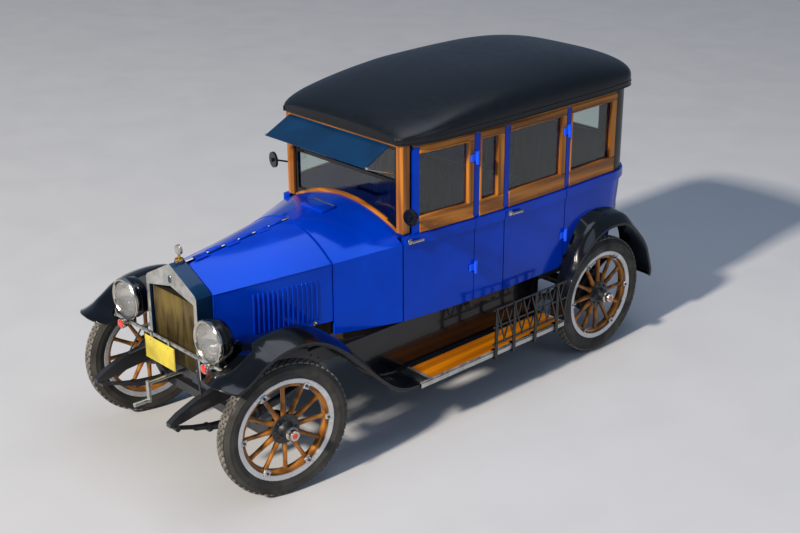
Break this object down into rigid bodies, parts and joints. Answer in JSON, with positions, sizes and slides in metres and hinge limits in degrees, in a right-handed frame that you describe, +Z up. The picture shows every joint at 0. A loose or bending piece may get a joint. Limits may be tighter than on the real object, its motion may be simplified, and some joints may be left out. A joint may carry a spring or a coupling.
{
  "type": "closed touring car",
  "caption": "Closed family car of the 1920s on wood-spoke wheels, with rear-hinged doors, centre-hinged bonnet halves, leather-cloth top, running boards and a rear spare",
  "frame": {"origin": "on the ground, at the centre of the car's length and width, midway between the axles", "axes": "front faces -Y, left side +X, +Z up"},
  "size_m": [1.6884, 3.942, 2.095],
  "materials": {
    "black_enamel": "glossy",
    "blue_enamel": "glossy",
    "visor_enamel": "glossy",
    "cast_engine": "matte",
    "pipe_steel": "matte",
    "nickel": "polished",
    "core_brass": "dull",
    "varnished_wood": "glossy",
    "window_glass": "clear",
    "leather": "satin",
    "top_cloth": "grained",
    "tyre_rubber": "matte",
    "floor_boards": "matte",
    "rim_wood": "glossy"
  },
  "bodies": {
    "car_body": {"chassis_frame": "black_enamel", "leaf_springs": "black_enamel", "front_axle": "black_enamel", "rear_axle": "black_enamel", "engine_block": "cast_engine", "driveline": "black_enamel", "exhaust": "pipe_steel", "fuel_tank": "black_enamel", "starting_crank": "black_enamel", "radiator_shell": "nickel", "radiator_core": "core_brass", "cowl": "blue_enamel", "body_posts": "blue_enamel", "rear_body": "blue_enamel", "floor_pan": "floor_boards", "roof": "top_cloth", "sun_visor": "visor_enamel", "windscreen_frame": "black_enamel", "wood_pillars": "varnished_wood", "fixed_glass": "window_glass", "front_seat": "leather", "rear_seat": "leather", "steering_column": "black_enamel", "front_wings": "black_enamel", "rear_wings": "black_enamel", "running_boards": "black_enamel", "headlamps": "nickel", "luggage_rack": "black_enamel", "spare_tyre": "tyre_rubber"},
    "bonnet_left": {"bonnet_left": "blue_enamel"},
    "bonnet_right": {"bonnet_right": "blue_enamel"},
    "door_front_left": {"door_front_left": "blue_enamel", "glass_front_left": "window_glass"},
    "wheel_front_left": {"wheel_front_left": "varnished_wood", "tyre_front_left": "tyre_rubber"},
    "door_front_right": {"door_front_right": "blue_enamel", "glass_front_right": "window_glass"},
    "wheel_front_right": {"wheel_front_right": "varnished_wood", "tyre_front_right": "tyre_rubber"},
    "door_rear_left": {"door_rear_left": "blue_enamel", "glass_rear_left": "window_glass"},
    "wheel_rear_left": {"wheel_rear_left": "varnished_wood", "tyre_rear_left": "tyre_rubber"},
    "door_rear_right": {"door_rear_right": "blue_enamel", "glass_rear_right": "window_glass"},
    "wheel_rear_right": {"wheel_rear_right": "varnished_wood", "tyre_rear_right": "tyre_rubber"},
    "knuckle_left": {"knuckle_left": "black_enamel"},
    "knuckle_right": {"knuckle_right": "black_enamel"},
    "steering_wheel": {"steering_wheel": "rim_wood"},
    "tie_rod": {"tie_rod": "black_enamel"}
  },
  "joints": [
    {"name": "steer_left", "type": "hinge", "parent": "car_body", "child": "knuckle_left", "pos_m": [0.63, -1.4, 0.418], "axis": [0, 0, 1], "range_deg": [-21.5, 38.5]},
    {"name": "steer_right", "type": "hinge", "parent": "car_body", "child": "knuckle_right", "pos_m": [-0.63, -1.4, 0.418], "axis": [0, 0, 1], "range_deg": [-21.5, 38.5]},
    {"name": "spin_front_left", "type": "hinge", "parent": "knuckle_left", "child": "wheel_front_left", "pos_m": [0.71011, -1.41197, 0.418], "axis": [0.989, -0.1478, 0], "continuous": true},
    {"name": "spin_rear_left", "type": "hinge", "parent": "car_body", "child": "wheel_rear_left", "pos_m": [0.711, 1.4, 0.418], "axis": [1, 0, 0], "continuous": true},
    {"name": "spin_front_right", "type": "hinge", "parent": "knuckle_right", "child": "wheel_front_right", "pos_m": [-0.71011, -1.38803, 0.418], "axis": [0.989, -0.1478, 0], "continuous": true},
    {"name": "spin_rear_right", "type": "hinge", "parent": "car_body", "child": "wheel_rear_right", "pos_m": [-0.711, 1.4, 0.418], "axis": [1, 0, 0], "continuous": true},
    {"name": "steering_wheel_turn", "type": "hinge", "parent": "car_body", "child": "steering_wheel", "pos_m": [0.3, -0.095, 1.215], "axis": [0, 0.788, 0.6157], "range_deg": [-258, 462]},
    {"name": "tie_rod_shift", "type": "slide", "parent": "car_body", "child": "tie_rod", "axis": [1, 0, 0], "range_m": [-0.1009, 0.0564]},
    {"name": "door_front_left_swing", "type": "hinge", "parent": "car_body", "child": "door_front_left", "pos_m": [0.6547, 0.225, 0.93], "axis": [0, 0, 1], "range_deg": [0, 75]},
    {"name": "door_front_right_swing", "type": "hinge", "parent": "car_body", "child": "door_front_right", "pos_m": [-0.6547, 0.225, 0.93], "axis": [0, 0, -1], "range_deg": [0, 75]},
    {"name": "door_rear_left_swing", "type": "hinge", "parent": "car_body", "child": "door_rear_left", "pos_m": [0.678, 1.075, 0.93], "axis": [0, 0, 1], "range_deg": [0, 75]},
    {"name": "door_rear_right_swing", "type": "hinge", "parent": "car_body", "child": "door_rear_right", "pos_m": [-0.678, 1.075, 0.93], "axis": [0, 0, -1], "range_deg": [0, 75]},
    {"name": "bonnet_left_lift", "type": "hinge", "parent": "car_body", "child": "bonnet_left", "pos_m": [0, -1.534, 1.268], "axis": [0, -0.9955, -0.0946], "range_deg": [0, 50]},
    {"name": "bonnet_right_lift", "type": "hinge", "parent": "car_body", "child": "bonnet_right", "pos_m": [0, -1.534, 1.268], "axis": [0, 0.9955, 0.0946], "range_deg": [0, 50]}
  ],
  "couplings": [
    {"joint": "steer_right", "follows": "steer_left", "ratio": 1},
    {"joint": "steering_wheel_turn", "follows": "steer_left", "ratio": 12},
    {"joint": "tie_rod_shift", "follows": "steer_left", "m_per_rad": -0.15}
  ]
}
